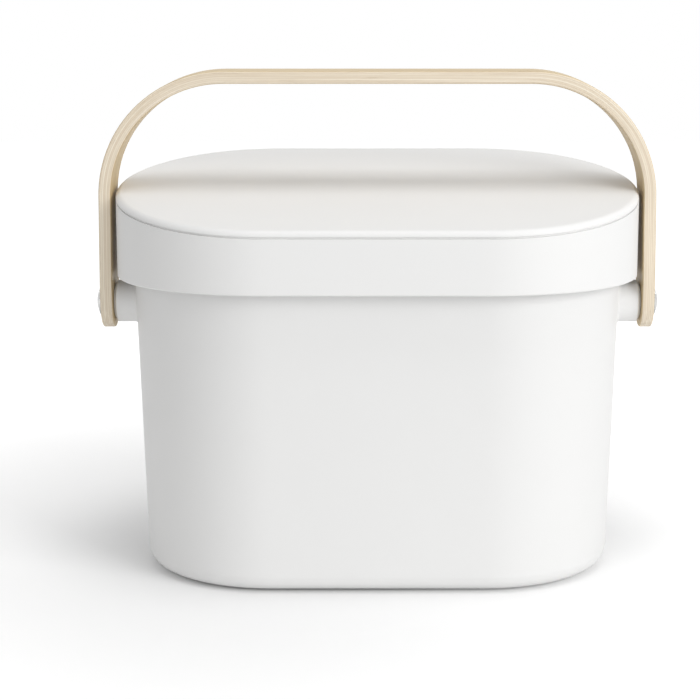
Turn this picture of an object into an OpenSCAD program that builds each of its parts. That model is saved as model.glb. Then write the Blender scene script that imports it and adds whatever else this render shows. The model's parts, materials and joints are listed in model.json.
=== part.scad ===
// Countertop compost caddy: an oblong bin with a hinged, forward-sloping lid and a bent laminated
// wood carrying handle on two side pivots. Z is up, -Y is the front, and the bin stands on z = 0.

/* [Plan] */
// Width of the lid over its two round ends
lid_width = 240; // [180:1:320]
// Depth of the lid, front to back
lid_depth = 143.6; // [110:1:170]
// How far the lid stands out past the bin, just under the skirt
lid_overhang = 8; // [6.5:0.5:11]

/* [Bin] */
// Height of the bin's rim above the table
rim_z = 150; // [110:1:200]
// Draft of the bin's wall
draft = 1.65; // [0.5:0.05:3]
// Radius of the rounded edge round the bottom
base_radius = 7.5; // [4:0.5:12]
// Wall of the bin
bin_wall = 2.4; // [1.8:0.1:3.5]
// Floor of the bin
bin_floor = 2.8; // [2.2:0.1:4.5]
// Height of the rim's flange
flange_t = 3.2; // [2:0.1:5]

/* [Lid] */
// Drop of the skirt's lower edge below the bin's rim
skirt_drop = 14; // [10:0.1:20]
// Rise of the lid's top above the bin's rim, at the front edge
front_rise = 14.3; // [10:0.5:25]
// Slope of the lid's top, up to the back
lid_slope = 9.8; // [4:0.1:14]
// Wall of the lid
lid_wall = 2.4; // [1.8:0.1:3.5]

/* [Seal] */
// Width of the lid's sealing ring
seal_w = 5; // [3.5:0.1:5.5]
// Height of the lid's sealing ring
seal_h = 2; // [1.5:0.1:3]

/* [Handle] */
// Drop of the handle's pivots below the lid's skirt
pivot_drop = 12.8; // [10.5:0.1:30]
// Reach of the handle, from its pivots to its outer top face
handle_reach = 106.3; // [102:0.1:130]
// Thickness of the laminated strap
strap_t = 5.6; // [4:0.1:8]
// Width of the strap
strap_w = 24.4; // [16:0.2:30]
// Outer radius of the strap's bends
bend_r = 57.2; // [40:0.1:60]
// How far each arm draws in from its pivot up to its bend
draw_in = 0.7; // [0:0.1:1.2]
// Gap between the lid's round end and the strap, at the pivots
side_gap = 1.8; // [1.8:0.1:4]
// How far the raised handle leans to the front
lean = 1.5; // [0:0.5:6]

/* [Pivots] */
// Diameter of the bosses on the bin's ends
boss_d = 19.5; // [16:0.5:24]
// Diameter of the pivot bolts' shoulder
shoulder_d = 6; // [5:0.5:8]
// Diameter of the pivot bolts' domed head
head_d = 13; // [10:0.5:15]
// Height of the domed head
head_t = 2.8; // [2.4:0.1:4]
// Height of the straight edge round the head
head_edge = 1.2; // [0.4:0.1:1.6]
// Width across the flats of the head's hexagon socket
socket_w = 4; // [2.5:0.5:5]
// Diameter of the pivot bolts' thread
thread_d = 4; // [3:0.5:5]
// How much wider the threaded inserts are than the bolts' shoulder
insert_over = 1; // [0.6:0.1:2.5]
// Length of the threaded inserts
insert_len = 7; // [5:0.5:8]

/* [Hinge] */
// Diameter of the hinge pins
pin_d = 3; // [2.5:0.5:4]
// Distance of each hinge from the middle
hinge_x = 34; // [20:1:36]
// Width of the lid's knuckle
knuckle_w = 6.4; // [5:0.2:10]
// Width of each of the bin's hinge lugs
lug_w = 3.6; // [2.5:0.1:5]
// Drop of the hinge's axis below the lid's skirt
hinge_drop = 12; // [8:0.5:20]

/* [Base pad] */
// Distance of the non-slip pad's edge from the edge of the flat base
pad_inset = 6; // [2:0.5:15]
// How far the pad stands out below the bin
pad_stand = 0.7; // [0.5:0.1:1.5]

/* [Hidden] */
$fn = 96;
// How far a cut runs past its piece, or a joined piece into its neighbour
past = 1;

// Plan: two half circles joined by straight sides
lid_r = lid_depth / 2;
half_straight = lid_width / 2 - lid_r;
skirt_z = rim_z - skirt_drop;
pivot_z = skirt_z - pivot_drop;

// Bin
base_r = lid_r - lid_overhang - (skirt_z - pad_stand) * tan(draft);
floor_z = pad_stand + bin_floor;
inner_radius = base_radius - bin_wall;
lid_inner_r = lid_r - lid_wall;
rim_gap = 2;
flange_r = lid_inner_r - rim_gap;
pad_r = base_r - base_radius - pad_inset;
pad_recess = 1.1;

// Lid
shelf_t = 2.4;
shelf_lip = 0.8;
seal_gap = 0.2;
seal_mid_r = (bin_r(rim_z) - bin_wall + flange_r) / 2;
shelf_z = rim_z + seal_gap + seal_h;
shelf_r = seal_mid_r - seal_w / 2 - shelf_lip;
lid_mid_z = rim_z + front_rise + lid_r * tan(lid_slope);

// Handle
strap_inner_x = lid_width / 2 + side_gap;
strap_outer_x = strap_inner_x + strap_t;
arm_rise = 10;
run_gap = 0.06;
fit_gap = 0.02;
washer_t = 0.8;
washer_gap = 0.2;
washer_d = 16;
insert_d = shoulder_d + insert_over;
boss_end_x = strap_inner_x - washer_gap - washer_t;
head_gap = 0.2;
socket_depth = 1.8;
bore_past = 0.6;
thread_short = 0.8;
bolt_len = insert_len - thread_short;

// Hinge
lug_r = 4.2;
hinge_out = 4.5;
hinge_y = lid_r + hinge_out;
hinge_z = skirt_z - hinge_drop;
hinge_gap = 0.3;
knuckle_rise = 12;
lug_brace = 12;
pin_len = knuckle_w + 2 * hinge_gap + 2 * lug_w;

plastic_white = [0.93, 0.93, 0.92];
silicone_grey = [0.75, 0.76, 0.76];
ash_wood = [0.88, 0.79, 0.64];
steel = [0.72, 0.73, 0.72];
nylon = [0.85, 0.85, 0.83];
brass = [0.8, 0.66, 0.35];
rubber_grey = [0.35, 0.35, 0.35];

// Outer radius of the bin's round ends at height z
function bin_r(z) = base_r + (z - pad_stand) * tan(draft);

// A solid of the oblong plan from its half section: a half turn at each end and a prism between
module oblong() {
    for (side = [-1, 1])
        translate([side * half_straight, 0, 0])
            rotate([0, 0, side > 0 ? -90 : 90])
                rotate_extrude(angle = 180)
                    children(0);
    rotate([90, 0, 90])
        linear_extrude(2 * half_straight, center = true) {
            children(0);
            mirror([1, 0]) children(0);
        }
}

// Half section of a drafted tub with a rounded bottom edge: r0 and z0 at the bottom, up to z1
module tub_section(r0, z0, z1, edge) {
    wall_r = r0 + (z1 - z0) * tan(draft);
    centre_r = r0 + edge * tan(draft) - edge / cos(draft);
    intersection() {
        union() {
            polygon([[0, z0], [centre_r, z0], [centre_r + edge * cos(draft), z0 + edge * (1 - sin(draft))],
                     [wall_r, z1], [0, z1]]);
            translate([centre_r, z0 + edge]) circle(edge);
        }
        square([2 * wall_r, z1]);
    }
}

// Half section of a flat ring of the oblong plan
module ring_section(r_in, r_out, z0, z1) {
    translate([r_in, z0]) square([r_out - r_in, z1 - z0]);
}

// The space under a plane that slopes up to the back, drop below the lid's top
module under_slope(drop) {
    translate([0, 0, lid_mid_z])
        rotate([lid_slope, 0, 0])
            translate([-lid_width, -lid_depth, -2 * lid_width - drop])
                cube([2 * lid_width, 2 * lid_depth, 2 * lid_width]);
}

// A prism along X from a section drawn in Y and Z
module bar_x(x0, width) {
    translate([x0, 0, 0]) rotate([90, 0, 90]) linear_extrude(width) children();
}

// A round bar along X
module rod_x(d, x0, length) {
    translate([x0, 0, 0]) rotate([0, 90, 0]) cylinder(d = d, h = length);
}

module at_hinge() {
    translate([0, hinge_y, hinge_z]) children();
}

module at_pivot(side) {
    translate([0, 0, pivot_z]) mirror([side < 0 ? 1 : 0, 0, 0]) children();
}

module bin_lug(x0) {
    wall_y = bin_r(hinge_z) - past;
    bar_x(x0, lug_w)
        polygon([[wall_y, hinge_z + lug_r], [hinge_y, hinge_z + lug_r],
                 [hinge_y, hinge_z - lug_r], [wall_y, hinge_z - lug_r - lug_brace]]);
    at_hinge() rod_x(2 * lug_r, x0, lug_w);
}

module bin_body() {
    first_lug_x = knuckle_w / 2 + hinge_gap;
    color(plastic_white)
        difference() {
            union() {
                oblong() tub_section(base_r, pad_stand, rim_z, base_radius);
                oblong() ring_section(bin_r(rim_z) - bin_wall, flange_r, rim_z - flange_t, rim_z);
                for (side = [-1, 1]) {
                    at_pivot(side) rod_x(boss_d, half_straight + base_r / 2, boss_end_x - half_straight - base_r / 2);
                    bin_lug(side * hinge_x + first_lug_x);
                    bin_lug(side * hinge_x - first_lug_x - lug_w);
                }
            }
            oblong() tub_section(base_r - bin_wall, floor_z, rim_z + past, inner_radius);
            for (side = [-1, 1]) {
                at_pivot(side)
                    rod_x(insert_d + 2 * fit_gap, boss_end_x - insert_len - bore_past, insert_len + bore_past + past);
                at_hinge() rod_x(pin_d + 2 * fit_gap, side * hinge_x - pin_len / 2 - past, pin_len + 2 * past);
            }
            oblong() ring_section(0, pad_r + fit_gap, 0, pad_stand + pad_recess);
        }
}

module lid_shell() {
    knuckle_x0 = -knuckle_w / 2;
    color(plastic_white)
        difference() {
            union() {
                difference() {
                    intersection() {
                        oblong() ring_section(0, lid_r, skirt_z, lid_mid_z + lid_depth);
                        under_slope(0);
                    }
                    intersection() {
                        oblong() ring_section(0, lid_inner_r, skirt_z - past, lid_mid_z + lid_depth);
                        under_slope(lid_wall);
                    }
                }
                oblong() ring_section(shelf_r, lid_inner_r + past, shelf_z, shelf_z + shelf_t);
                for (side = [-1, 1]) {
                    bar_x(side * hinge_x + knuckle_x0, knuckle_w)
                        polygon([[lid_r - past, skirt_z], [lid_r - past, skirt_z + knuckle_rise],
                                 [lid_r, skirt_z + knuckle_rise], [hinge_y + lug_r, hinge_z + lug_r],
                                 [hinge_y + lug_r, hinge_z], [hinge_y, hinge_z],
                                 [hinge_y - lug_r * cos(45), hinge_z + lug_r * sin(45)]]);
                    at_hinge() rod_x(2 * lug_r, side * hinge_x + knuckle_x0, knuckle_w);
                }
            }
            for (side = [-1, 1])
                at_hinge()
                    rod_x(pin_d + 2 * run_gap, side * hinge_x + knuckle_x0 - past, knuckle_w + 2 * past);
        }
}

module lid_seal() {
    color(silicone_grey)
        oblong() ring_section(seal_mid_r - seal_w / 2, seal_mid_r + seal_w / 2, shelf_z - seal_h, shelf_z);
}

// The strap's outline in X and Z, measured from the pivots: arms, bends and top bar
module strap_outline() {
    arm_x = strap_outer_x - draw_in;
    bend_x = arm_x - bend_r;
    bend_z = handle_reach - bend_r;
    translate([-bend_x, handle_reach - strap_t]) square([2 * bend_x, strap_t]);
    for (side = [-1, 1])
        mirror([side < 0 ? 1 : 0, 0]) {
            polygon([[strap_outer_x, -strap_w], [strap_outer_x, arm_rise], [arm_x, bend_z],
                     [arm_x - strap_t, bend_z], [strap_inner_x, arm_rise], [strap_inner_x, -strap_w]]);
            translate([bend_x, bend_z])
                intersection() {
                    difference() {
                        circle(bend_r);
                        circle(bend_r - strap_t);
                    }
                    square(bend_r);
                }
        }
}

module handle_strap() {
    color(ash_wood)
        translate([0, 0, pivot_z])
            rotate([lean, 0, 0])
                difference() {
                    rotate([90, 0, 0]) linear_extrude(strap_w, center = true) strap_outline();
                    // The lower ends are round about the pivots in side view
                    difference() {
                        translate([-lid_width, -strap_w, -2 * strap_w])
                            cube([2 * lid_width, 2 * strap_w, 2 * strap_w]);
                        rod_x(strap_w, -lid_width, 2 * lid_width);
                    }
                    for (side = [-1, 1])
                        rod_x(shoulder_d + 2 * run_gap, (side > 0 ? strap_inner_x : -strap_outer_x) - past,
                              strap_t + 2 * past);
                }
}

// A shoulder bolt: thread in the insert, shoulder through the washer and the strap, domed head
module pivot_bolt(side) {
    head_x = strap_outer_x + head_gap;
    head_r = head_d / 2;
    dome_h = head_t - head_edge;
    dome_r = (head_r * head_r + dome_h * dome_h) / (2 * dome_h);
    color(steel)
        at_pivot(side)
            rotate([0, 90, 0])
                difference() {
                    rotate_extrude() {
                        translate([0, boss_end_x - bolt_len]) square([thread_d / 2, bolt_len]);
                        translate([0, boss_end_x]) square([shoulder_d / 2, head_x - boss_end_x]);
                        intersection() {
                            translate([0, head_x + head_t - dome_r]) circle(dome_r);
                            translate([0, head_x]) square([head_r, head_t]);
                        }
                    }
                    translate([0, 0, head_x + head_t - socket_depth])
                        cylinder(r = socket_w / 2 / cos(30), h = socket_depth + past, $fn = 6);
                }
}

module pivot_washer(side) {
    color(nylon)
        at_pivot(side)
            difference() {
                rod_x(washer_d, boss_end_x, washer_t);
                rod_x(shoulder_d + 2 * run_gap, boss_end_x - past, washer_t + 2 * past);
            }
}

module pivot_insert(side) {
    color(brass)
        at_pivot(side)
            difference() {
                rod_x(insert_d, boss_end_x - insert_len, insert_len);
                rod_x(thread_d + 2 * fit_gap, boss_end_x - insert_len - past, insert_len + 2 * past);
            }
}

module hinge_pin(side) {
    color(steel) at_hinge() rod_x(pin_d, side * hinge_x - pin_len / 2, pin_len);
}

module base_pad() {
    color(rubber_grey) oblong() ring_section(0, pad_r, 0, pad_stand + pad_recess);
}

bin_body();
lid_shell();
lid_seal();
handle_strap();
pivot_bolt(-1);  // pivot_bolt_left
pivot_bolt(1);  // pivot_bolt_right
pivot_washer(-1);  // pivot_washer_left
pivot_washer(1);  // pivot_washer_right
pivot_insert(-1);  // pivot_insert_left
pivot_insert(1);  // pivot_insert_right
hinge_pin(-1);  // hinge_pin_left
hinge_pin(1);  // hinge_pin_right
base_pad();
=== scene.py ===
# Countertop compost caddy: white plastic bin and lid, carrying handle of bent laminated ash
import json
import math

import bmesh
import bpy
from mathutils import Matrix, Vector


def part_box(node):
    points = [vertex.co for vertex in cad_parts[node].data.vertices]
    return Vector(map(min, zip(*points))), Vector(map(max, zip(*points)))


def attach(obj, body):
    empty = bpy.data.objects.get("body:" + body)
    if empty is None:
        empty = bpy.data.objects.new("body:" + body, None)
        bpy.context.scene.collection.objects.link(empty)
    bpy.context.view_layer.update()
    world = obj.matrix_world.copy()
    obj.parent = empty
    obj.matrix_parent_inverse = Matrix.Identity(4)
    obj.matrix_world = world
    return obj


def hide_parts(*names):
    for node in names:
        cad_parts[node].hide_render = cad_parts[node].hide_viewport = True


mm = 0.001
touch = 0.001 * mm  # points closer than this are one
near = 0.1 * mm  # how close to a level an edge lies to be picked
acrossX = Matrix.Rotation(math.radians(90), 4, "Y")  # turns a circle's axis from Z to X
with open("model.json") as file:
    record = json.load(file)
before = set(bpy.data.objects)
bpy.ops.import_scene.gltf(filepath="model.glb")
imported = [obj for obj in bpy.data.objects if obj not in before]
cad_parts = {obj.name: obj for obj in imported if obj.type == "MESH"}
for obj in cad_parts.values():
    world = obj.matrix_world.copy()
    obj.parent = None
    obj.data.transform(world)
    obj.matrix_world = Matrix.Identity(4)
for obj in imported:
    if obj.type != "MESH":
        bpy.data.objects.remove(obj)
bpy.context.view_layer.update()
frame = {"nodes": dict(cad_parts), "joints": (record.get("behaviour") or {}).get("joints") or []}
jointPlace = {joint["name"]: Vector(joint["pos_m"]) for joint in frame["joints"]}
pivot = jointPlace["handle_swing"]
hinge = jointPlace["lid_hinge"]

# Shared plan: two half circles joined by straight sides
lidLow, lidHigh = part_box("lid_shell")
lidRadius = -lidLow.y
halfStraight = lidHigh.x - lidRadius


def planRadius(point):
    return math.hypot(max(abs(point.x) - halfStraight, 0), point.y)


def cadPoints(node):
    return [vertex.co for vertex in frame["nodes"][node].data.vertices]


# Mesh helpers

def meshPiece(name, bm, body, nodes, materials, sharpAngle=32):
    bmesh.ops.recalc_face_normals(bm, faces=bm.faces)
    mesh = bpy.data.meshes.new(name)
    bm.to_mesh(mesh)
    bm.free()
    for face in mesh.polygons:
        face.use_smooth = True
    mesh.set_sharp_from_angle(angle=math.radians(sharpAngle))
    for material in materials:
        mesh.materials.append(material)
    piece = bpy.data.objects.new(name, mesh)
    bpy.context.scene.collection.objects.link(piece)
    flats = piece.modifiers.new("keepFlatsFlat", "WEIGHTED_NORMAL")
    flats.keep_sharp = True
    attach(piece, body)
    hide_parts(*nodes)
    print(name, "has", len(mesh.polygons), "faces")
    return piece


def newOnes(found, kind):
    return [item for item in found if isinstance(item, kind)]


def newVerts(found):
    return newOnes(found, bmesh.types.BMVert)


def newRing(found):
    # the loop at the far end of an edge extrusion
    verts = newVerts(found)
    ends = set(verts)
    return verts + [edge for edge in newOnes(found, bmesh.types.BMEdge) if ends.issuperset(edge.verts)]


def stretch(bm, ring, vec, steps):
    for _ in range(steps):
        run = bmesh.ops.extrude_edge_only(bm, edges=newOnes(ring, bmesh.types.BMEdge))
        bmesh.ops.translate(bm, verts=newVerts(run["geom"]), vec=Vector(vec) / steps)
        ring = newRing(run["geom"])
    return ring


def mend(bm):
    bmesh.ops.remove_doubles(bm, verts=bm.verts, dist=touch)
    bmesh.ops.recalc_face_normals(bm, faces=bm.faces)


def sectionAt(bm, points):
    # half section on the front, at the right end of the straight
    verts = [bm.verts.new((halfStraight, -radius, z)) for radius, z in points]
    return verts + [bm.edges.new(pair) for pair in zip(verts, verts[1:])]


def sweepOblong(bm, section, roundSteps=48, straightSteps=6):
    # right end, back, left end, front
    for side in (1, -1):
        turned = bmesh.ops.spin(bm, geom=section, cent=(side * halfStraight, 0, 0), axis=(0, 0, 1),
                                angle=math.pi, steps=roundSteps)
        section = stretch(bm, turned["geom_last"], (-side * 2 * halfStraight, 0, 0), straightSteps)
    mend(bm)


def roundEdges(bm, radius, segments, picks, sharpest=25):
    # picks says which edges, from the middle of each
    edges = [edge for edge in bm.edges
             if len(edge.link_faces) == 2
             and edge.calc_face_angle() > math.radians(sharpest)
             and picks((edge.verts[0].co + edge.verts[1].co) / 2)]
    bmesh.ops.bevel(bm, geom=edges, offset=radius, offset_type="OFFSET", segments=segments,
                    profile=0.5, affect="EDGES", material=-1, clamp_overlap=True)


def addEyePlate(bm, left, width, eyeRadius, holeRadius, start, turn, corners, ease):
    # a flat plate across X whose outline goes round the hinge pin, with a hole for the pin
    part = bmesh.new()
    first = part.verts.new((left, *start))
    arc = bmesh.ops.spin(part, geom=[first], cent=(left, hinge.y, hinge.z), axis=(1, 0, 0),
                         angle=math.radians(turn), steps=20)
    chain = newVerts(arc["geom_last"])
    for corner in corners:
        chain.append(part.verts.new((left, *corner)))
    for pair in zip(chain, chain[1:] + [first]):
        part.edges.new(pair)
    bmesh.ops.create_circle(part, cap_ends=False, radius=holeRadius, segments=28,
                            matrix=Matrix.Translation((left, hinge.y, hinge.z)) @ acrossX)
    bmesh.ops.triangle_fill(part, edges=part.edges, use_beauty=True)
    up = bmesh.ops.extrude_face_region(part, geom=part.faces)
    bmesh.ops.translate(part, verts=newVerts(up["geom"]), vec=(width, 0, 0))
    bmesh.ops.recalc_face_normals(part, faces=part.faces)
    outsideHole = holeRadius + 0.3 * mm
    roundEdges(part, ease, 2, lambda p: math.hypot(p.y - hinge.y, p.z - hinge.z) > outsideHole, 50)
    joinInto(bm, part)


def joinInto(bm, part):
    whole = bpy.data.meshes.new("joined")
    part.to_mesh(whole)
    part.free()
    bm.from_mesh(whole)
    bpy.data.meshes.remove(whole)


# Node helpers

def addNode(tree, kind, inputs=None, **settings):
    node = tree.nodes.new(kind)
    for name, value in settings.items():
        setattr(node, name, value)
    for key, value in (inputs or {}).items():
        if isinstance(value, bpy.types.NodeSocket):
            tree.links.new(value, node.inputs[key])
        else:
            node.inputs[key].default_value = value
    return node


def startGroup(name, inputs, outputs):
    group = bpy.data.node_groups.new(name, "ShaderNodeTree")
    for label, kind, value in inputs:
        socket = group.interface.new_socket(label, in_out="INPUT", socket_type=kind)
        socket.default_value = value
    for label, kind in outputs:
        group.interface.new_socket(label, in_out="OUTPUT", socket_type=kind)
    return group, group.nodes.new("NodeGroupInput"), group.nodes.new("NodeGroupOutput")


def startMaterial(name):
    material = bpy.data.materials.new(name)
    material.use_nodes = True
    tree = material.node_tree
    tree.nodes.clear()
    shader = tree.nodes.new("ShaderNodeBsdfPrincipled")
    addNode(tree, "ShaderNodeOutputMaterial", {"Surface": shader.outputs["BSDF"]})
    return material, tree, shader


def addBump(tree, shader, height, distance):
    bump = addNode(tree, "ShaderNodeBump", {"Height": height, "Distance": distance, "Strength": 1.0})
    tree.links.new(bump.outputs["Normal"], shader.inputs["Normal"])


def calc(tree, operation, *values):
    node = addNode(tree, "ShaderNodeMath", dict(enumerate(values)), operation=operation)
    return node.outputs["Value"]


def vectorCalc(tree, operation, *values):
    node = addNode(tree, "ShaderNodeVectorMath", dict(enumerate(values)), operation=operation)
    return node.outputs["Value" if operation == "LENGTH" else "Vector"]


def mapped(tree, value, fromRange, toRange):
    # held at both ends
    ends = {"From Min": fromRange[0], "From Max": fromRange[1], "To Min": toRange[0], "To Max": toRange[1]}
    return addNode(tree, "ShaderNodeMapRange", {"Value": value, **ends}).outputs["Result"]


def noise(tree, place, scale, detail, **more):
    settings = {"Vector": place, "Scale": scale, "Detail": detail, **more}
    return addNode(tree, "ShaderNodeTexNoise", settings).outputs["Fac"]


def mixed(tree, factor, first, second, blend="MIX"):
    node = addNode(tree, "ShaderNodeMix", {"Factor": factor, "A": first, "B": second}, data_type="RGBA",
                   blend_type=blend)
    return node.outputs["Result"]


def toned(tree, value, fromRange, lowColour, highColour):
    ramp = addNode(tree, "ShaderNodeValToRGB", {"Fac": value})
    for stop, position, colour in zip(ramp.color_ramp.elements, fromRange, (lowColour, highColour)):
        stop.position = position
        stop.color = (*colour, 1)
    return ramp.outputs["Color"]


def wanderingGloss(group, value, given):
    # noise keeps around 0.5, so its middle is spread over the two given glosses
    return mapped(group, value, (0.3, 0.7), (given.outputs["Gloss low"], given.outputs["Gloss high"]))


# Moulded skin: slow tone drift, fine spark-eroded texture and a little wander in the gloss

def makeMouldedSkin():
    group, given, result = startGroup(
        "mouldedSkin",
        [("Light tone", "NodeSocketColor", (0.9, 0.9, 0.9, 1)),
         ("Dark tone", "NodeSocketColor", (0.85, 0.85, 0.85, 1)),
         ("Texture scale", "NodeSocketFloat", 1800.0),
         ("Gloss low", "NodeSocketFloat", 0.36),
         ("Gloss high", "NodeSocketFloat", 0.46)],
        [("Colour", "NodeSocketColor"), ("Roughness", "NodeSocketFloat"), ("Height", "NodeSocketFloat")])
    place = addNode(group, "ShaderNodeTexCoord").outputs["Object"]
    drift = noise(group, place, 16.0, 2.0)
    colour = mixed(group, drift, given.outputs["Dark tone"], given.outputs["Light tone"])
    wander = noise(group, place, 55.0, 3.0)
    grain = noise(group, place, given.outputs["Texture scale"], 2.0, Roughness=0.6)
    group.links.new(colour, result.inputs["Colour"])
    group.links.new(wanderingGloss(group, wander, given), result.inputs["Roughness"])
    group.links.new(grain, result.inputs["Height"])
    return group


def makeMoulded(name, light, dark, textureScale, gloss, depth, specular=0.5):
    material, tree, shader = startMaterial(name)
    skin = addNode(tree, "ShaderNodeGroup", node_tree=mouldedSkin)
    skin.inputs["Light tone"].default_value = (*light, 1)
    skin.inputs["Dark tone"].default_value = (*dark, 1)
    skin.inputs["Texture scale"].default_value = textureScale
    skin.inputs["Gloss low"].default_value, skin.inputs["Gloss high"].default_value = gloss
    shader.inputs["Specular IOR Level"].default_value = specular
    tree.links.new(skin.outputs["Colour"], shader.inputs["Base Color"])
    tree.links.new(skin.outputs["Roughness"], shader.inputs["Roughness"])
    addBump(tree, shader, skin.outputs["Height"], depth)
    return material


# Turned metal: fine rings round an axis along X, cut by the tool

def makeTurnedSkin():
    group, given, result = startGroup(
        "turnedSkin",
        [("Centre", "NodeSocketVector", (0, 0, 0)),
         ("Ring pitch", "NodeSocketFloat", 0.4 * mm),
         ("Gloss low", "NodeSocketFloat", 0.25),
         ("Gloss high", "NodeSocketFloat", 0.4)],
        [("Roughness", "NodeSocketFloat"), ("Height", "NodeSocketFloat")])
    place = addNode(group, "ShaderNodeTexCoord").outputs["Object"]
    away = vectorCalc(group, "SUBTRACT", place, given.outputs["Centre"])
    radius = vectorCalc(group, "LENGTH", vectorCalc(group, "MULTIPLY", away, (0, 1, 1)))
    turns = calc(group, "DIVIDE", radius, given.outputs["Ring pitch"])
    ridges = calc(group, "PINGPONG", turns, 1.0)
    specks = noise(group, place, 700.0, 2.0)
    group.links.new(wanderingGloss(group, specks, given), result.inputs["Roughness"])
    group.links.new(ridges, result.inputs["Height"])
    return group


def makeTurned(name, colour, centre, ringPitch, gloss, depth):
    material, tree, shader = startMaterial(name)
    skin = addNode(tree, "ShaderNodeGroup", node_tree=turnedSkin)
    skin.inputs["Centre"].default_value = centre
    skin.inputs["Ring pitch"].default_value = ringPitch
    skin.inputs["Gloss low"].default_value, skin.inputs["Gloss high"].default_value = gloss
    shader.inputs["Base Color"].default_value = (*colour, 1)
    shader.inputs["Metallic"].default_value = 1.0
    tree.links.new(skin.outputs["Roughness"], shader.inputs["Roughness"])
    addBump(tree, shader, skin.outputs["Height"], depth)
    return material


# Laminated ash: reads along, across and depth in the strap from the piece's own attribute

strapGrain = "strapGrain"
ash = {"early": (0.90, 0.815, 0.67), "late": (0.76, 0.65, 0.50), "ringScale": (9, 260, 420),
       "ringRange": (0.32, 0.60), "pore": (0.46, 0.35, 0.23), "poreScale": (60, 1900, 2400),
       "poreRange": (0.62, 0.74), "poreStrength": 0.5, "poreDepth": 0.04 * mm, "plies": 7, "plyShift": 0.37,
       "glue": (0.54, 0.42, 0.29), "glueRange": (0.03, 0.12), "glueStrength": 0.55,
       # face and the range after it are painted shade: how much darker the strap's broad faces are painted
       # than its edges
       "face": (0.75, 0.66, 0.475), "faceShadeRange": (0.15, 0.5), "gloss": (0.42, 0.56)}


def makeAsh(thickness):
    material, tree, shader = startMaterial("laminatedAsh")
    plies = float(ash["plies"])
    place = addNode(tree, "ShaderNodeAttribute", attribute_name=strapGrain).outputs["Vector"]
    depth = addNode(tree, "ShaderNodeSeparateXYZ", {"Vector": place}).outputs["Z"]
    plyPlace = mapped(tree, depth, (0.0, thickness), (0.01, plies - 0.01))
    # each ply is cut from another place in the log
    shift = calc(tree, "MULTIPLY", calc(tree, "FLOOR", plyPlace), ash["plyShift"])
    offset = addNode(tree, "ShaderNodeCombineXYZ", {"X": shift, "Y": shift, "Z": shift}).outputs["Vector"]
    inPly = vectorCalc(tree, "ADD", place, offset)
    rings = noise(tree, vectorCalc(tree, "MULTIPLY", inPly, ash["ringScale"]), 1.0, 4.0, Roughness=0.55,
                  Distortion=0.4)
    pores = noise(tree, vectorCalc(tree, "MULTIPLY", inPly, ash["poreScale"]), 1.0, 2.0)
    ground = toned(tree, rings, ash["ringRange"], ash["early"], ash["late"])
    poreMask = mapped(tree, pores, ash["poreRange"], (0.0, ash["poreStrength"]))
    grained = mixed(tree, poreMask, ground, (*ash["pore"], 1))
    # glue lines between the plies, none on the two outer faces
    within = addNode(tree, "ShaderNodeClamp", {"Value": plyPlace, "Min": 0.5, "Max": plies - 0.5})
    fromGlue = calc(tree, "PINGPONG", within.outputs["Result"], 0.5)
    glueMask = mapped(tree, fromGlue, ash["glueRange"], (ash["glueStrength"], 0.0))
    glued = mixed(tree, glueMask, grained, (*ash["glue"], 1))
    # painted shade: the strap's two broad faces are painted darker and more golden than its planed edges,
    # standing in for the shade those faces lie in
    fromFace = calc(tree, "MINIMUM", plyPlace, calc(tree, "SUBTRACT", plies, plyPlace))
    faceShadeMask = mapped(tree, fromFace, ash["faceShadeRange"], (1.0, 0.0))
    shadedFaces = mixed(tree, faceShadeMask, glued, (*ash["face"], 1), "MULTIPLY")
    tree.links.new(shadedFaces, shader.inputs["Base Color"])
    tree.links.new(mapped(tree, rings, (0.0, 1.0), ash["gloss"]), shader.inputs["Roughness"])
    addBump(tree, shader, pores, ash["poreDepth"])
    return material


# Bin

binLow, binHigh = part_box("bin_body")
padLow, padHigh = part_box("base_pad")
binSize = {"wall": 2.4 * mm, "floor": 2.8 * mm, "draft": math.radians(1.65), "overhang": 8 * mm,
           "baseEdge": 7.5 * mm, "innerEdge": 5.1 * mm, "flange": 3.2 * mm, "rimEdge": 0.9 * mm,
           "flangeEdge": 0.4 * mm, "padGap": 0.05 * mm}
bossSize = {"radius": 9.75 * mm, "foot": 1.4 * mm, "footSpread": 1.3, "edge": 0.7 * mm, "bore": 3.55 * mm,
            "boreDepth": 7.6 * mm, "sink": 1.2 * mm}
lugSize = {"width": 3.6 * mm, "radius": 4.2 * mm, "hole": 1.52 * mm, "brace": 12 * mm, "sink": 1.2 * mm,
           "ease": 0.5 * mm, "gap": 0.3 * mm}
knuckleSize = {"width": 6.4 * mm, "hole": 1.56 * mm, "rise": 12 * mm, "sink": 1.2 * mm, "ease": 0.6 * mm}
hingeX = [(low.x + high.x) / 2 for low, high in (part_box("hinge_pin_left"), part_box("hinge_pin_right"))]
skirtBottom = min(point.z for point in cadPoints("lid_shell") if point.y < 0)


def wallRadius(z):
    return lidRadius - binSize["overhang"] - (skirtBottom - z) * math.tan(binSize["draft"])


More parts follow.
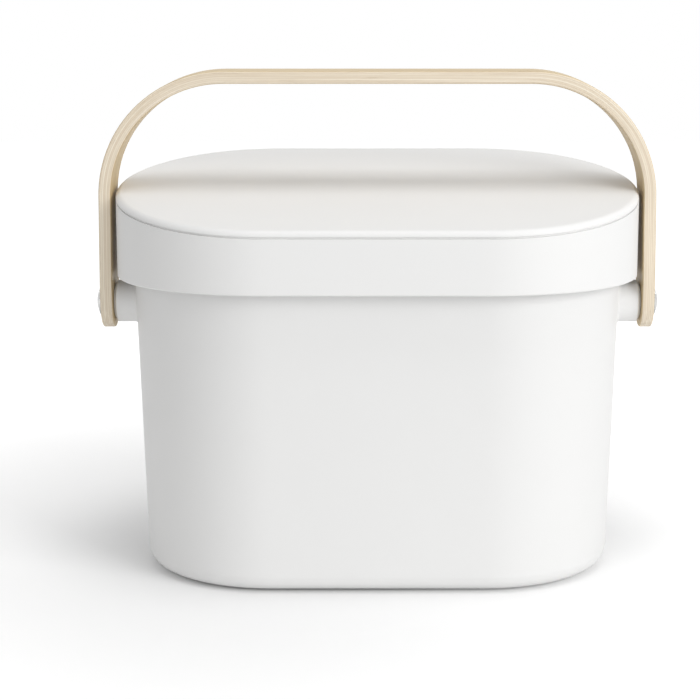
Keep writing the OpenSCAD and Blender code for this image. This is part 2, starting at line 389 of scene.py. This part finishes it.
def addBoss(bm, side):
    part = bmesh.new()
    radius, foot = bossSize["radius"], bossSize["foot"]
    wallX = halfStraight + wallRadius(pivot.z)
    endX = binHigh.x
    footRadius = radius + bossSize["footSpread"] * foot
    section = [(wallX - bossSize["sink"], 0), (wallX - bossSize["sink"], footRadius), (wallX, footRadius),
               (wallX, radius), (endX, radius), (endX, bossSize["bore"]),
               (endX - bossSize["boreDepth"], bossSize["bore"]), (endX - bossSize["boreDepth"], 0)]
    verts = [part.verts.new((x, 0, pivot.z + r)) for x, r in section]
    edges = [part.edges.new(pair) for pair in zip(verts, verts[1:])]
    bmesh.ops.spin(part, geom=verts + edges, cent=pivot, axis=(1, 0, 0), angle=2 * math.pi, steps=56,
                   use_merge=True)
    mend(part)

    def fromAxis(p):
        return math.hypot(p.y, p.z - pivot.z)

    roundEdges(part, foot, 6, lambda p: abs(p.x - wallX) < near and fromAxis(p) < radius + near)
    roundEdges(part, bossSize["edge"], 3,
               lambda p: abs(p.x - endX) < near and fromAxis(p) > 2 * bossSize["bore"])
    for vertex in part.verts:  # the foot follows the bin's round, drafted wall
        if vertex.co.x < wallX + 1.01 * foot and fromAxis(vertex.co) > bossSize["bore"]:
            x, y, z = vertex.co
            vertex.co.x = x - wallX + halfStraight + math.sqrt(wallRadius(z) ** 2 - y * y)
    if side < 0:
        bmesh.ops.scale(part, verts=part.verts, vec=(-1, 1, 1))
        bmesh.ops.reverse_faces(part, faces=part.faces)
    joinInto(bm, part)


def makeBin(material):
    bm = bmesh.new()
    rimZ, baseZ = binHigh.z, binLow.z
    floorZ = baseZ + binSize["floor"]
    flangeRadius = -binLow.y
    padRadius = -padLow.y + binSize["padGap"]
    underFlange = rimZ - binSize["flange"]

    def innerRadius(z):
        return wallRadius(z - binSize["floor"]) - binSize["wall"]

    section = sectionAt(bm, [(0, padHigh.z), (padRadius, padHigh.z), (padRadius, baseZ),
                             (wallRadius(baseZ), baseZ), (wallRadius(underFlange), underFlange),
                             (flangeRadius, underFlange), (flangeRadius, rimZ), (innerRadius(rimZ), rimZ),
                             (innerRadius(floorZ), floorZ), (0, floorZ)])
    sweepOblong(bm, section)
    nearBase = wallRadius(baseZ) - 1 * mm
    nearInner = innerRadius(floorZ) - 1 * mm
    nearFlange = flangeRadius - 1 * mm
    roundEdges(bm, binSize["baseEdge"], 9, lambda p: abs(p.z - baseZ) < near and planRadius(p) > nearBase)
    roundEdges(bm, binSize["innerEdge"], 7,
               lambda p: abs(p.z - floorZ) < near and abs(planRadius(p) - nearInner) < 2 * mm)
    roundEdges(bm, binSize["rimEdge"], 3, lambda p: abs(p.z - rimZ) < near)
    roundEdges(bm, binSize["flangeEdge"], 2,
               lambda p: abs(p.z - underFlange) < near and planRadius(p) > nearFlange)
    for side in (-1, 1):
        addBoss(bm, side)
    eyeTop = (hinge.y, hinge.z + lugSize["radius"])
    wallY = wallRadius(hinge.z) - lugSize["sink"]
    beside = knuckleSize["width"] / 2 + lugSize["gap"]
    for x in hingeX:
        for left in (x + beside, x - beside - lugSize["width"]):
            addEyePlate(bm, left, lugSize["width"], lugSize["radius"], lugSize["hole"], eyeTop, -180,
                        [(wallY, hinge.z - lugSize["radius"] - lugSize["brace"]),
                         (wallY, hinge.z + lugSize["radius"])], lugSize["ease"])
    return meshPiece("binShell", bm, "bin", ["bin_body"], [material])


# Lid

lidSize = {"wall": 2.4 * mm, "topEdge": 2.8 * mm, "skirtEdge": 0.9 * mm, "innerEdge": 1.6 * mm,
           "shelf": 2.4 * mm, "shelfEdge": 0.4 * mm,
           "grooveWidth": 1.0 * mm, "grooveDepth": 0.9 * mm, "grooveEdge": 0.15 * mm}


def makeLid(material):
    bm = bmesh.new()
    points = cadPoints("lid_shell")
    frontTop = max(point.z for point in points if point.y < lidRadius * -0.999)
    backTop = lidHigh.z
    slope = (backTop - frontTop) / (2 * lidRadius)
    midTop = (backTop + frontTop) / 2
    ceiling = midTop - lidSize["wall"] * math.hypot(1, slope)
    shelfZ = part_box("lid_seal")[1].z
    shelfTop = shelfZ + lidSize["shelf"]
    shelfRadius = min(planRadius(point) for point in points if abs(point.z - shelfZ) < 0.01 * mm)
    inner = lidRadius - lidSize["wall"]
    grooveTop = midTop - lidSize["topEdge"] - 0.1 * mm  # the fine line starts just under the rounded edge
    grooveBottom = grooveTop - lidSize["grooveWidth"]
    grooveRadius = lidRadius - lidSize["grooveDepth"]
    section = sectionAt(bm, [(0, midTop), (lidRadius, midTop), (lidRadius, grooveTop),
                             (grooveRadius, grooveTop), (grooveRadius, grooveBottom),
                             (lidRadius, grooveBottom), (lidRadius, skirtBottom), (inner, skirtBottom),
                             (inner, shelfZ), (shelfRadius, shelfZ), (shelfRadius, shelfTop),
                             (inner, shelfTop), (inner, ceiling), (0, ceiling)])
    sweepOblong(bm, section)
    for vertex in bm.verts:  # the top slopes down to the front, and the groove with it
        if vertex.co.z > grooveBottom - near:
            vertex.co.z += vertex.co.y * slope

    def onTop(p, level):
        return abs(p.z - level - p.y * slope) < 0.3 * mm

    roundEdges(bm, lidSize["topEdge"], 8, lambda p: onTop(p, midTop) and planRadius(p) > inner)
    roundEdges(bm, lidSize["grooveEdge"], 2,
               lambda p: onTop(p, grooveBottom) and planRadius(p) > lidRadius - near)
    roundEdges(bm, lidSize["innerEdge"], 4, lambda p: onTop(p, ceiling))
    roundEdges(bm, lidSize["skirtEdge"], 4, lambda p: abs(p.z - skirtBottom) < near)
    roundEdges(bm, lidSize["shelfEdge"], 2,
               lambda p: abs(planRadius(p) - shelfRadius) < 0.2 * mm and p.z < shelfTop + 1 * mm)
    eyeBack = (hinge.y + lugSize["radius"], hinge.z)
    wallY = lidRadius - knuckleSize["sink"]
    for x in hingeX:
        addEyePlate(bm, x - knuckleSize["width"] / 2, knuckleSize["width"], lugSize["radius"],
                    knuckleSize["hole"], eyeBack, -225,
                    [(wallY, skirtBottom), (wallY, skirtBottom + knuckleSize["rise"]),
                     (lidRadius, skirtBottom + knuckleSize["rise"]),
                     (eyeBack[0], hinge.z + lugSize["radius"])], knuckleSize["ease"])
    return meshPiece("lidShell", bm, "lid", ["lid_shell"], [material])


# Handle strap

strapSize = {"thickness": 5.6 * mm, "width": 24.4 * mm, "bend": 57.2 * mm, "reach": 106.3 * mm,
             "drawIn": 0.7 * mm, "armRise": 10 * mm, "lean": math.radians(1.5), "ease": 0.8 * mm,
             "bore": 3.06 * mm}
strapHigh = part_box("handle_strap")[1]
bendX = strapHigh.x - strapSize["drawIn"] - strapSize["bend"]
bendZ = strapSize["reach"] - strapSize["bend"]
slant = strapSize["drawIn"] / (bendZ - strapSize["armRise"])


def strapPlace(point):
    # along, across and depth below the outer face, for a point in the upright strap
    x, z = abs(point.x), point.z
    bend = strapSize["bend"]
    if z < bendZ:
        outerX = strapHigh.x - slant * max(z - strapSize["armRise"], 0)
        fromTop = bendX + bend * math.pi / 2 + bendZ - z
        depth = outerX - x
    elif x > bendX:
        fromTop = bendX + bend * math.atan2(x - bendX, z - bendZ)
        depth = bend - math.hypot(x - bendX, z - bendZ)
    else:
        fromTop = x
        depth = strapSize["reach"] - z
    return math.copysign(fromTop, point.x), point.y, depth


def roundOff(bm, ring):
    # half a disc round the pivot closes an arm's end
    side = [vert for vert in newVerts(ring) if vert.co.y > 0]
    edges = newOnes(ring, bmesh.types.BMEdge)
    side += [edge for edge in edges if all(vert.co.y > 0 for vert in edge.verts)]
    bmesh.ops.spin(bm, geom=side, cent=(0, 0, 0), axis=(-1, 0, 0), angle=math.pi, steps=24)
    bmesh.ops.remove_doubles(bm, verts=bm.verts, dist=touch)


def makeStrap(material):
    bm = bmesh.new()
    outerX = strapHigh.x
    innerX = outerX - strapSize["thickness"]
    half = strapSize["width"] / 2
    verts = [bm.verts.new(corner) for corner in ((outerX, -half, 0), (outerX, half, 0),
                                                 (innerX, half, 0), (innerX, -half, 0))]
    start = verts + [bm.edges.new(pair) for pair in zip(verts, verts[1:] + verts[:1])]
    rise, slantRise = strapSize["armRise"], bendZ - strapSize["armRise"]
    ring = stretch(bm, start, (0, 0, rise), 2)
    ring = stretch(bm, ring, (-strapSize["drawIn"], 0, slantRise), 8)
    for side in (1, -1):
        turned = bmesh.ops.spin(bm, geom=ring, cent=(side * bendX, 0, bendZ), axis=(0, -1, 0),
                                angle=math.pi / 2, steps=28)
        ring = turned["geom_last"]
        if side > 0:
            ring = stretch(bm, ring, (-2 * bendX, 0, 0), 24)
    ring = stretch(bm, ring, (-strapSize["drawIn"], 0, -slantRise), 8)
    ring = stretch(bm, ring, (0, 0, -rise), 2)
    for end in (start, ring):
        roundOff(bm, end)
    openEdges = [edge for edge in bm.edges if edge.is_boundary]
    bmesh.ops.holes_fill(bm, edges=openEdges, sides=0)
    bmesh.ops.recalc_face_normals(bm, faces=bm.faces)
    roundEdges(bm, strapSize["ease"], 4, lambda p: True, 60)
    piece = meshPiece("handleStrap", bm, "handle", ["handle_strap"], [material], 50)
    cutBores(piece, innerX, outerX)
    mesh = piece.data
    grain = mesh.attributes.new(strapGrain, "FLOAT_VECTOR", "POINT")
    for vertex in mesh.vertices:
        grain.data[vertex.index].vector = strapPlace(vertex.co)
    mesh.transform(Matrix.Translation(pivot) @ Matrix.Rotation(strapSize["lean"], 4, "X"))
    return piece


def cutBores(piece, innerX, outerX):
    cutter = bmesh.new()
    for side in (-1, 1):
        bmesh.ops.create_cone(cutter, cap_ends=True, segments=40, radius1=strapSize["bore"],
                              radius2=strapSize["bore"], depth=2 * strapSize["thickness"],
                              matrix=Matrix.Translation((side * (innerX + outerX) / 2, 0, 0)) @ acrossX)
    mesh = bpy.data.meshes.new("boreCutter")
    cutter.to_mesh(mesh)
    cutter.free()
    tool = bpy.data.objects.new("boreCutter", mesh)
    bpy.context.scene.collection.objects.link(tool)
    cut = piece.modifiers.new("bores", "BOOLEAN")
    cut.operation = "DIFFERENCE"
    cut.object = tool
    flats = piece.modifiers["keepFlatsFlat"]
    flats.show_viewport = False
    evaluated = piece.evaluated_get(bpy.context.evaluated_depsgraph_get())
    bored = bpy.data.meshes.new_from_object(evaluated)
    flats.show_viewport = True
    piece.modifiers.remove(cut)
    piece.data = bored
    bpy.data.objects.remove(tool)


# Stage, light and camera

backdrop = {"span": 6.0, "floorColour": (0.90, 0.90, 0.90), "roughness": 0.9, "specular": 0.1,
            "liftCentre": (-0.03, 0, 0), "liftShape": (1, 0.75, 1), "liftRange": (0.03, 0.38), "lift": 0.6,
            "ambient": 0.48}
lamps = {
    "topSoftbox": {"place": (0.05, -0.235, 1.30), "aim": (0, 0.01, 0.17), "size": (0.4, 0.5), "power": 4.1},
    "rightSoftbox": {"place": (1.10, -1.00, 0.66), "aim": (0, 0, 0.12), "size": (0.8, 0.8), "power": 10.0},
    "frontSoftbox": {"place": (-0.15, -1.50, 0.22), "aim": (0, 0, 0.12), "size": (1.0, 0.5), "power": 0.9},
}
photoView = {"sensor": 36, "lens": 90.6, "place": (0, -0.812, 0.2498), "pitch": 10.56, "shiftX": -0.0391,
             "shiftY": 0.0039}


def addLamp(name, settings):
    light = bpy.data.lights.new(name, "AREA")
    light.shape = "RECTANGLE"
    light.size, light.size_y = settings["size"]
    light.energy = settings["power"]
    lamp = bpy.data.objects.new(name, light)
    bpy.context.scene.collection.objects.link(lamp)
    lamp.location = settings["place"]
    lamp.rotation_euler = (Vector(settings["aim"]) - lamp.location).to_track_quat("-Z", "Y").to_euler()


def seenDirectly(tree):
    # 1 for a ray from the camera or off something shiny
    rays = addNode(tree, "ShaderNodeLightPath")
    return rays, calc(tree, "MAXIMUM", rays.outputs["Is Camera Ray"], rays.outputs["Is Glossy Ray"])


def makeStage():
    bm = bmesh.new()
    bmesh.ops.create_grid(bm, x_segments=4, y_segments=4, size=backdrop["span"] / 2)
    mesh = bpy.data.meshes.new("table")
    bm.to_mesh(mesh)
    bm.free()
    table = bpy.data.objects.new("table", mesh)
    bpy.context.scene.collection.objects.link(table)
    material, tree, shader = startMaterial("paleTable")
    shader.inputs["Base Color"].default_value = (*backdrop["floorColour"], 1)
    shader.inputs["Roughness"].default_value = backdrop["roughness"]
    shader.inputs["Specular IOR Level"].default_value = backdrop["specular"]
    # painted light: the table glows for camera and glossy rays, more the further it lies from the bin, so
    # it brightens to white away from the bin's own shade
    seen = seenDirectly(tree)[1]
    place = addNode(tree, "ShaderNodeTexCoord").outputs["Object"]
    shifted = vectorCalc(tree, "SUBTRACT", place, backdrop["liftCentre"])
    away = vectorCalc(tree, "LENGTH", vectorCalc(tree, "MULTIPLY", shifted, backdrop["liftShape"]))
    far = mapped(tree, away, backdrop["liftRange"], (0.0, backdrop["lift"]))
    shader.inputs["Emission Color"].default_value = (1, 1, 1, 1)
    tree.links.new(calc(tree, "MULTIPLY", seen, far), shader.inputs["Emission Strength"])
    mesh.materials.append(material)


def makeWorld():
    world = bpy.data.worlds.new("studio")
    bpy.context.scene.world = world
    world.use_nodes = True
    tree = world.node_tree
    tree.nodes.clear()
    rays, seen = seenDirectly(tree)
    through = calc(tree, "MAXIMUM", seen, rays.outputs["Is Transmission Ray"])
    colour = (1, 1, 1, 1)
    ambient = addNode(tree, "ShaderNodeBackground", {"Color": colour, "Strength": backdrop["ambient"]})
    white = addNode(tree, "ShaderNodeBackground", {"Color": colour, "Strength": 1.0})
    both = addNode(tree, "ShaderNodeMixShader", {0: through, 1: ambient.outputs["Background"],
                                                 2: white.outputs["Background"]})
    addNode(tree, "ShaderNodeOutputWorld", {"Surface": both.outputs["Shader"]})


def addCamera():
    camera = bpy.data.objects.new("photoCamera", bpy.data.cameras.new("photoCamera"))
    bpy.context.scene.collection.objects.link(camera)
    camera.location = photoView["place"]
    camera.rotation_euler = (math.radians(90 - photoView["pitch"]), 0, 0)
    camera.data.sensor_width = photoView["sensor"]
    camera.data.lens = photoView["lens"]
    camera.data.shift_x = photoView["shiftX"]
    camera.data.shift_y = photoView["shiftY"]
    camera.data.clip_start = 0.01
    bpy.context.scene.camera = camera


# Finishes

mouldedSkin = makeMouldedSkin()
turnedSkin = makeTurnedSkin()
whitePlastic = makeMoulded("whitePlastic", (0.870, 0.869, 0.862), (0.850, 0.849, 0.842), 2200.0,
                           (0.48, 0.57), 0.006 * mm, specular=0.36)
greySilicone = makeMoulded("greySilicone", (0.60, 0.61, 0.61), (0.55, 0.56, 0.56), 900.0,
                           (0.55, 0.68), 0.015 * mm)
whiteNylon = makeMoulded("whiteNylon", (0.80, 0.79, 0.76), (0.74, 0.73, 0.70), 1500.0,
                         (0.45, 0.55), 0.01 * mm)
padRubber = makeMoulded("padRubber", (0.055, 0.055, 0.055), (0.04, 0.04, 0.04), 1100.0,
                        (0.7, 0.85), 0.03 * mm)
turnedSteel = makeTurned("turnedSteel", (0.54, 0.54, 0.53), pivot, 0.22 * mm, (0.24, 0.36), 0.008 * mm)
pinSteel = makeTurned("pinSteel", (0.60, 0.60, 0.60), hinge, 0.25 * mm, (0.22, 0.34), 0.006 * mm)
turnedBrass = makeTurned("turnedBrass", (0.78, 0.58, 0.28), pivot, 0.3 * mm, (0.28, 0.4), 0.01 * mm)
laminatedAsh = makeAsh(strapSize["thickness"])
print("Finishes made")

makeBin(whitePlastic)
makeLid(whitePlastic)
makeStrap(laminatedAsh)

keptNodes = {"lid_seal": greySilicone, "base_pad": padRubber,
             "pivot_bolt_left": turnedSteel, "pivot_bolt_right": turnedSteel,
             "pivot_washer_left": whiteNylon, "pivot_washer_right": whiteNylon,
             "pivot_insert_left": turnedBrass, "pivot_insert_right": turnedBrass,
             "hinge_pin_left": pinSteel, "hinge_pin_right": pinSteel}
for node, material in keptNodes.items():
    mesh = frame["nodes"][node].data
    mesh.materials.clear()
    mesh.materials.append(material)
print("Kept nodes finished")

makeStage()
makeWorld()
for name, settings in lamps.items():
    addLamp(name, settings)
addCamera()
bpy.context.scene.view_settings.view_transform = "Standard"
print("Stage, lamps and camera placed")
